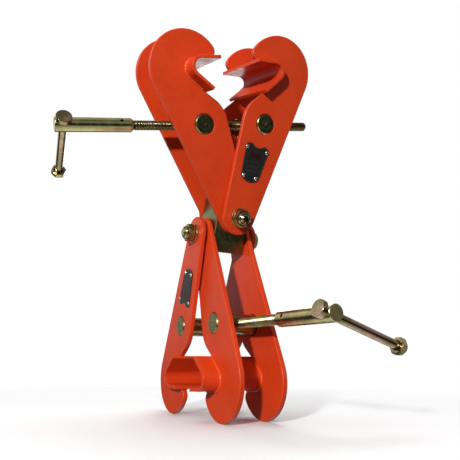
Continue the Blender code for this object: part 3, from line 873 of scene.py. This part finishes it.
def add_nameplate(prefix, arm):
    """The blank nameplate with its raised border and fields, and its four rivets."""
    under = OUTER_PLATE_FACE + NAMEPLATE_LIFT
    loop = nameplate_outline()
    body = flat([mirrored(loop)], NAMEPLATE_THICKNESS, NAMEPLATE_EDGE, 2)
    middle = -(under + NAMEPLATE_THICKNESS / 2)
    node = f"{prefix}_nameplate"
    add(f"{node}_look", node, body, upright(arm, middle), name_metal)

    face = upright(arm, middle - NAMEPLATE_THICKNESS / 2)
    border = raised(mirrored(inset(loop, BORDER_OUTSIDE)), mirrored(inset(loop, BORDER_INSIDE)))
    add(f"{node}_border", node, border, face, name_light, stands=False)
    title = raised(box_outline(TITLE_PLACE, *TITLE_SIZE, 1.0 * MM))
    add(f"{node}_title", node, title, face, name_red, stands=False)
    fields = []
    for height, width in FIELD_ROWS:
        centre = (-NAMEPLATE_U, height)
        outer = box_outline(centre, width, FIELD_BOX_HEIGHT, 0.6 * MM)
        hole = box_outline(centre, width - 2 * FIELD_LINE, FIELD_BOX_HEIGHT - 2 * FIELD_LINE, 0.4 * MM)
        fields.append(raised(outer, hole))
    add(f"{node}_fields", node, joined(fields), face, name_light, stands=False)

    for number, (u, v) in enumerate(rivet_places(), 1):
        node = f"{prefix}_rivet_{number}"
        place = arm @ Matrix.Translation((-u, -under, v)) @ Matrix.Rotation(pi / 2, 4, "X")
        add(f"{node}_look", node, turned(rivet_profile(), 32), place, silver, 50.0)


def trunnion_end(half):
    """Half of the trunnion's profile: a centre mark, two shallow tool rings and a chamfered rim."""
    small = TRUNNION_RADIUS - TRUNNION_CHAMFER
    return [
        (0.0, half - 0.7 * MM), (1.1 * MM, half - 0.05 * MM), (1.3 * MM, half),
        (4.6 * MM, half), (4.75 * MM, half - 0.06 * MM), (4.9 * MM, half),
        (small - 0.1 * MM, half), (small, half - 0.02 * MM),
        (TRUNNION_RADIUS - 0.1 * MM, half - TRUNNION_CHAMFER + 0.05 * MM),
        (TRUNNION_RADIUS, half - TRUNNION_CHAMFER - 0.1 * MM),
    ]


def add_trunnion(prefix, side, place):
    """A round cross pin between the arm's plates, with a countersunk cross hole for the screw."""
    half = (INNER_PLATE_FACE if side == "inner" else OUTER_PLATE_FACE) + TRUNNION_PROUD
    end = trunnion_end(half)
    profile = end + [(r, -z) for r, z in reversed(end)]
    mesh = turned(profile)
    rim = TRUNNION_RADIUS + 1.0 * MM
    bore = turned([
        (0.0, rim), (TRUNNION_BORE + 1.9 * MM, rim), (TRUNNION_BORE, rim - 2.2 * MM),
        (TRUNNION_BORE, -rim + 2.2 * MM), (TRUNNION_BORE + 1.9 * MM, -rim), (0.0, -rim),
    ])
    place = place @ Matrix.Rotation(pi / 2, 4, "X")
    mesh = combined(mesh, bore, "DIFFERENCE", Matrix.Rotation(pi / 2, 4, "Y"))
    node = f"{prefix}_{side}_trunnion"
    add(f"{node}_look", node, mesh, place, pin_zinc, 30.0)


def add_screw(prefix, screw, neck):
    """The screw along the frame's X, with a right-hand and a left-hand half that meet at a plain neck."""
    rod = threaded(
        ROD_NEAR_END, ROD_FAR_END, lambda z: 1.0 if z > neck else -1.0,
        (neck - NECK_HALF_LENGTH, neck + NECK_HALF_LENGTH),
    )
    root = ROD_NEAR_END + 0.4 * MM
    tip = ROD_NEAR_END - SPIGOT_LENGTH
    spigot = softened([(0.0, root), (SPIGOT_RADIUS, root), (SPIGOT_RADIUS, tip), (0.0, tip)], 0.5 * MM)
    mesh = joined([rod, turned(spigot, THREAD_SIDES)])
    node = f"{prefix}_screw"
    add(f"{node}_look", node, mesh, about_z(screw, (1.0, 0.0, 0.0)), thread_zinc, 25.0)


def add_handle(prefix, screw):
    """The bored round handle, cross-drilled for its bar and for its roll pin."""
    end = HANDLE_START - HANDLE_LENGTH
    profile = [
        (0.0, HANDLE_START - HANDLE_BORE_DEPTH), (HANDLE_BORE, HANDLE_START - HANDLE_BORE_DEPTH),
        (HANDLE_BORE, HANDLE_START - 0.5 * MM), (HANDLE_BORE + 0.5 * MM, HANDLE_START),
        (HANDLE_RADIUS - 1.2 * MM, HANDLE_START), (HANDLE_RADIUS, HANDLE_START - 1.6 * MM),
        (HANDLE_RADIUS, end + 0.6 * MM), (HANDLE_RADIUS - 0.6 * MM, end), (0.0, end),
    ]
    mesh = turned(softened(profile, 0.25 * MM, 2))
    to_bar = joint_axis(f"{prefix}_bar_slide")
    along = Matrix.Identity(4)
    turn = about_z(along, (1.0, 0.0, 0.0)).inverted().to_3x3()
    across = turn @ (screw.to_3x3().inverted() @ to_bar)
    bar_hole = about_z(moved_along_z(along, BAR_HOLE_X), across)
    flare = BAR_HOLE_RADIUS + 0.7 * MM
    reach = HANDLE_RADIUS + 0.4 * MM
    drill = turned([
        (0.0, reach), (flare, reach), (BAR_HOLE_RADIUS, reach - 1.4 * MM),
        (BAR_HOLE_RADIUS, -reach + 1.4 * MM), (flare, -reach), (0.0, -reach),
    ], 48)
    mesh = combined(mesh, drill, "DIFFERENCE", bar_hole)

    low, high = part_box(f"{prefix}_handle_pin")
    pin_middle = screw.inverted() @ ((low + high) / 2)
    outward = Vector((0.0, pin_middle.y, pin_middle.z)).normalized()
    pin_hole = about_z(moved_along_z(along, pin_middle.x), turn @ outward)
    mesh = combined(mesh, cylinder(PIN_HOLE_RADIUS, 0.0, 2 * HANDLE_RADIUS, 32), "DIFFERENCE", pin_hole)
    node = f"{prefix}_handle"
    add(f"{node}_look", node, mesh, about_z(screw, (1.0, 0.0, 0.0)), bar_zinc, 30.0)

    top = HANDLE_RADIUS - PIN_DEPTH
    corners = [(PIN_RADIUS, top), (PIN_RADIUS, PIN_END), (PIN_BORE, PIN_END), (PIN_BORE, top)]
    tube = softened(corners, 0.15 * MM, 2, closed=True)
    node = f"{prefix}_handle_pin"
    place = about_z(moved_along_x(screw, pin_middle.x), outward)
    # The pin is near-black: painted shade for the dark hole it sits in.
    add(f"{node}_look", node, turned(tube, 32), place, pin_shade_steel, 40.0)


def add_bar(prefix, bar):
    """The sliding bar with its upset head, and the lock nut on its far end."""
    top = BAR_HEAD_START + BAR_HEAD_THICKNESS
    end = BAR_NUT_LOW - BAR_END_PROUD
    profile = [
        (0.0, top - 0.25 * MM), (3.0 * MM, top - 0.2 * MM), (BAR_HEAD_RADIUS - 0.2 * MM, top),
        (BAR_HEAD_RADIUS, top - 1.0 * MM), (BAR_HEAD_RADIUS, BAR_HEAD_START + 0.3 * MM),
        (BAR_HEAD_RADIUS - 0.5 * MM, BAR_HEAD_START), (BAR_RADIUS, BAR_HEAD_START - 0.1 * MM),
        (BAR_RADIUS, end + 0.9 * MM), (BAR_RADIUS - 0.9 * MM, end), (0.0, end),
    ]
    node = f"{prefix}_tommy_bar"
    add(f"{node}_look", node, turned(softened(profile, 0.6 * MM)), bar, tommy_zinc, 30.0)
    mesh = lock_nut(BAR_NUT_FLATS, BAR_NUT_HEX, BAR_NUT_COLLAR, BAR_NUT_COLLAR_RADIUS, BAR_RADIUS + 0.1 * MM)
    place = moved_along_z(bar, BAR_NUT_LOW + BAR_NUT_HEX + BAR_NUT_COLLAR) @ Matrix.Rotation(pi, 4, "X")
    node = f"{prefix}_tommy_nut"
    add(f"{node}_look", node, mesh, place, bolt_zinc, 30.0)


def lock_nut(flats, hex_height, collar_height, collar_radius, bore):
    """A hexagon with a round locking collar on top, standing on z = 0."""
    body = hexagon(flats, 0.0, hex_height, True)
    top = hex_height + collar_height
    sunk = hex_height - 0.8 * MM
    collar = [
        (0.0, top), (collar_radius - 0.9 * MM, top), (collar_radius, top - 1.1 * MM),
        (collar_radius, sunk), (0.0, sunk),
    ]
    mesh = combined(body, turned(softened(collar, 0.6 * MM)), "UNION")
    sink = turned([
        (0.0, top + 1.0 * MM), (bore + 1.6 * MM, top + 1.0 * MM), (bore, top - 0.6 * MM),
        (bore, 0.6 * MM), (bore + 1.2 * MM, -0.6 * MM), (0.0, -0.6 * MM),
    ])
    return combined(mesh, sink, "DIFFERENCE")


def add_bolt(prefix, clamp):
    """The pivot bolt along the frame's Y with its head at +Y, its lock nut and its washers."""
    outward = about_z(clamp, (0.0, 1.0, 0.0))
    nutward = about_z(clamp, (0.0, -1.0, 0.0))
    head = hexagon(HEX_FLATS, HEAD_START + 0.4 * MM, HEAD_START + BOLT_HEAD_THICKNESS, False)
    within = HEAD_START + 1.5 * MM
    thread_start = -BOLT_END + BOLT_THREAD_LENGTH
    shank = [
        (0.0, within), (HEAD_COLLAR_RADIUS, within), (HEAD_COLLAR_RADIUS, HEAD_START),
        (BOLT_RADIUS, HEAD_START), (BOLT_RADIUS, thread_start),
        (BOLT_RADIUS - 0.3 * MM, thread_start - 0.4 * MM), (0.0, thread_start - 0.4 * MM),
    ]
    mesh = combined(head, turned(softened(shank, 0.1 * MM, 1)), "UNION")
    thread = threaded(-BOLT_END, thread_start, lambda z: 1.0)
    node = f"{prefix}_pivot_bolt"
    add(f"{node}_look", node, joined([mesh, thread]), outward, bolt_zinc, 30.0)

    bore = BOLT_RADIUS + 0.05 * MM
    nut = lock_nut(HEX_FLATS, NUT_HEX_THICKNESS, NUT_COLLAR_THICKNESS, NUT_COLLAR_RADIUS, bore)
    node = f"{prefix}_pivot_nut"
    add(f"{node}_look", node, nut, moved_along_z(nutward, HEAD_START), bolt_zinc, 30.0)

    rings = [
        ("nut_side_washer", nutward, WASHER_RADIUS, WASHER_START, WASHER_START + WASHER_THICKNESS),
        ("head_side_washer", outward, WASHER_RADIUS, WASHER_START, WASHER_START + WASHER_THICKNESS),
        ("nut_side_spacer", nutward, SPACER_RADIUS, SPACER_START, SPACER_END),
        ("head_side_spacer", outward, SPACER_RADIUS, SPACER_START, SPACER_END),
    ]
    for name, place, radius, low, high in rings:
        corners = [(radius, high), (radius, low), (BOLT_BORE, low), (BOLT_BORE, high)]
        ring = turned(softened(corners, 0.35 * MM, 3, closed=True))
        node = f"{prefix}_{name}"
        add(f"{node}_look", node, ring, place, washer_zinc, 40.0)


def add_block(place):
    """The centre block, with rounded edges and two crossed bores with countersunk mouths."""
    shape = bmesh.new()
    bmesh.ops.create_cube(shape, size=1.0)
    bmesh.ops.scale(shape, verts=shape.verts, vec=(BLOCK_WIDTH, BLOCK_WIDTH, BLOCK_HEIGHT))
    bmesh.ops.bevel(shape, geom=shape.edges[:], offset=BLOCK_EDGE, segments=4, affect="EDGES", profile=0.5)
    mesh = bpy.data.meshes.new("block")
    shape.to_mesh(mesh)
    shape.free()
    half = BLOCK_WIDTH / 2 + 0.5 * MM
    for height, way in ((AXIS_OFFSET, (0.0, 1.0, 0.0)), (-AXIS_OFFSET, (1.0, 0.0, 0.0))):
        drill = turned([
            (0.0, half), (BOLT_BORE + 1.2 * MM, half), (BOLT_BORE, half - 1.2 * MM),
            (BOLT_BORE, -half + 1.2 * MM), (BOLT_BORE + 1.2 * MM, -half), (0.0, -half),
        ])
        mesh = combined(mesh, drill, "DIFFERENCE", about_z(Matrix.Translation((0.0, 0.0, height)), way))
    add("centre_block_look", "centre_block", mesh, place, block_zinc, 30.0)


def add_clamp(prefix):
    """Every piece of one clamp, placed by its joints."""
    pivot = joint_place(f"{prefix}_swing")
    y = joint_axis(f"{prefix}_swing")
    x = joint_axis(f"{prefix}_screw_feed")
    z = x.cross(y)
    clamp = axes(x, y, z, pivot)
    for side in ("inner", "outer"):
        middle = joint_place(f"{prefix}_{side}_trunnion_turn")
        up = (middle - pivot).normalized()
        arm = axes(y.cross(up), y, up, pivot)
        add_arm(prefix, side, arm)
        add_trunnion(prefix, side, axes(x, y, z, middle))
        if side == "outer":
            add_nameplate(prefix, arm)
    add_bolt(prefix, clamp)
    handle = joint_place(f"{prefix}_handle_turn")
    origin = handle - x * HANDLE_JOINT_X
    screw = axes(x, y, z, origin)
    add_screw(prefix, screw, (pivot - origin).dot(x))
    add_handle(prefix, screw)
    to_head = joint_axis(f"{prefix}_bar_slide")
    bar = axes(x, to_head.cross(x), to_head, origin + x * BAR_HOLE_X)
    add_bar(prefix, bar)


# ---------------------------------------------------------------- stage


def add_floor():
    """A pale floor that turns transparent away from the object."""
    shape = bmesh.new()
    bmesh.ops.create_grid(shape, x_segments=1, y_segments=1, size=FLOOR_HALF_WIDTH)
    mesh = bpy.data.meshes.new("floor")
    shape.to_mesh(mesh)
    shape.free()
    look = Look("pale_floor")
    look.set(Base_Color=FLOOR_COLOUR, Roughness=0.9)
    coordinates = look.node("ShaderNodeTexCoord")
    reach = look.node("ShaderNodeVectorMath", operation="LENGTH")
    look.link(coordinates.outputs["Object"], reach.inputs[0])
    fade = look.node("ShaderNodeMapRange")
    fade.inputs["From Min"].default_value = FLOOR_FADE[0]
    fade.inputs["From Max"].default_value = FLOOR_FADE[1]
    fade.inputs["To Min"].default_value = 1.0
    fade.inputs["To Max"].default_value = 0.0
    look.link(reach.outputs["Value"], fade.inputs["Value"])
    look.link(fade.outputs["Result"], look.shader.inputs["Alpha"])
    mesh.materials.append(look.material)
    floor_plane = bpy.data.objects.new("floor", mesh)
    bpy.context.scene.collection.objects.link(floor_plane)
    floor_plane.location = (0.0, 0.0, FLOOR_HEIGHT)
    floor_plane.visible_glossy = False
    floor_plane.visible_diffuse = False


def add_softbox(name, direction, distance, size, power):
    """A square area light that looks at the middle of the object."""
    light = bpy.data.lights.new(name, "AREA")
    light.shape = "SQUARE"
    light.size = size
    light.energy = power
    lamp = bpy.data.objects.new(name, light)
    bpy.context.scene.collection.objects.link(lamp)
    toward = Vector(direction).normalized()
    lamp.location = Vector(LIGHT_TARGET) + toward * distance
    lamp.rotation_euler = toward.to_track_quat("Z", "Y").to_euler()
    return lamp


def add_world():
    """A white backdrop to the eye, and for everything else a studio that is darker low down."""
    world = bpy.data.worlds.new("studio")
    bpy.context.scene.world = world
    world.use_nodes = True
    tree = world.node_tree
    tree.nodes.clear()
    coordinates = tree.nodes.new("ShaderNodeTexCoord")
    parts = tree.nodes.new("ShaderNodeSeparateXYZ")
    tree.links.new(coordinates.outputs["Generated"], parts.inputs[0])
    height = tree.nodes.new("ShaderNodeMapRange")
    height.inputs["From Min"].default_value = -1.0
    height.inputs["From Max"].default_value = 1.0
    tree.links.new(parts.outputs["Z"], height.inputs["Value"])
    ramp = tree.nodes.new("ShaderNodeValToRGB")
    elements = ramp.color_ramp.elements
    while len(elements) < len(STUDIO_LEVELS):
        elements.new(0.5)
    for element, (position, value) in zip(elements, STUDIO_LEVELS):
        element.position = position
        element.color = (value, value, value, 1.0)
    tree.links.new(height.outputs["Result"], ramp.inputs["Fac"])
    side = tree.nodes.new("ShaderNodeVectorMath")
    side.operation = "DOT_PRODUCT"
    side.inputs[1].default_value = DARK_SIDE
    tree.links.new(coordinates.outputs["Generated"], side.inputs[0])
    dimmed = tree.nodes.new("ShaderNodeMapRange")
    dimmed.inputs["From Min"].default_value = DIMMING_REACH[0]
    dimmed.inputs["From Max"].default_value = DIMMING_REACH[1]
    dimmed.inputs["To Min"].default_value = DIMMING[0]
    dimmed.inputs["To Max"].default_value = DIMMING[1]
    tree.links.new(side.outputs["Value"], dimmed.inputs["Value"])
    studio = tree.nodes.new("ShaderNodeBackground")
    tree.links.new(ramp.outputs["Color"], studio.inputs["Color"])
    tree.links.new(dimmed.outputs["Result"], studio.inputs["Strength"])
    fill = tree.nodes.new("ShaderNodeBackground")
    fill.inputs["Color"].default_value = (FILL_LEVEL, FILL_LEVEL, FILL_LEVEL, 1.0)
    backdrop = tree.nodes.new("ShaderNodeBackground")
    backdrop.inputs["Color"].default_value = (1.0, 1.0, 1.0, 1.0)
    path = tree.nodes.new("ShaderNodeLightPath")
    source = fill.outputs[0]
    for ray, light in (("Is Glossy Ray", studio), ("Is Camera Ray", backdrop)):
        chosen = tree.nodes.new("ShaderNodeMixShader")
        tree.links.new(path.outputs[ray], chosen.inputs["Fac"])
        tree.links.new(source, chosen.inputs[1])
        tree.links.new(light.outputs[0], chosen.inputs[2])
        source = chosen.outputs[0]
    output = tree.nodes.new("ShaderNodeOutputWorld")
    tree.links.new(source, output.inputs["Surface"])


def add_camera():
    data = bpy.data.cameras.new("camera")
    data.lens = CAMERA_LENS
    data.sensor_width = 36.0
    data.clip_start = 0.01
    camera = bpy.data.objects.new("camera", data)
    bpy.context.scene.collection.objects.link(camera)
    camera.location = CAMERA_PLACE
    camera.rotation_euler = [radians(angle) for angle in CAMERA_TURN]
    bpy.context.scene.camera = camera


paint = paint_look("orange_paint", 0.55, 0.24)
weld_paint = paint_look("orange_paint_on_welds", 0.80, 0.70)
bar_zinc = zinc_look("zinc_handles", (MOSS, STRAW, MOSS, TAN), (0.14, 0.28), 0.35)
tommy_zinc = zinc_look("zinc_tommy_bars", (BROWN, OLIVE, PINK, TAN), (0.14, 0.28), 0.30)
# The screw's threads get painted shade in their roots.
thread_zinc = zinc_look("zinc_threads", (OLIVE, BROWN, YELLOW, OLIVE), (0.26, 0.40), 0.1, shaded_roots=True)
bolt_zinc = zinc_look("zinc_bolts", (OLIVE, YELLOW, BROWN, GREEN), (0.12, 0.26), 0.15)
washer_zinc = zinc_look("zinc_washers", (OLIVE, YELLOW, YELLOW, TAN), (0.22, 0.36), 0.15)
pin_zinc = zinc_look("zinc_trunnions", (OLIVE, DARK_OLIVE, OLIVE, GREEN), (0.20, 0.34), 0.30)
block_tones = (DARK_GREEN, DARK_OLIVE, DARK_GREEN, OLIVE)
block_zinc = zinc_look("zinc_block", block_tones, (0.26, 0.42), 0.0, turned_marks=False)
silver = zinc_look("bright_steel", SILVER_TONES, (0.20, 0.32), 0.1)
# The roll pin is made near-black: painted shade for the dark pin hole.
pin_shade_steel = zinc_look("roll_pin_painted_shade", PIN_HOLE_SHADE_TONES, (0.30, 0.42), 0.1)
name_metal = plate_look("nameplate_dark", (0.035, 0.036, 0.034), 0.42)
name_light = plate_look("nameplate_border", (0.09, 0.09, 0.085), 0.38)
name_red = plate_look("nameplate_title", (0.06, 0.018, 0.016), 0.40)

block_x = joint_axis("lower_swing")
block_y = joint_axis("upper_swing")
block_middle = (joint_place("upper_swing") + joint_place("lower_swing")) / 2
add_block(axes(block_x, block_y, block_x.cross(block_y), block_middle))
add_clamp("upper")
add_clamp("lower")

add_floor()
add_world()
lamps = {row[0]: add_softbox(*row) for row in SOFTBOXES}
lamps["top"].visible_glossy = False
add_camera()
bpy.context.scene.view_settings.view_transform = "Standard"
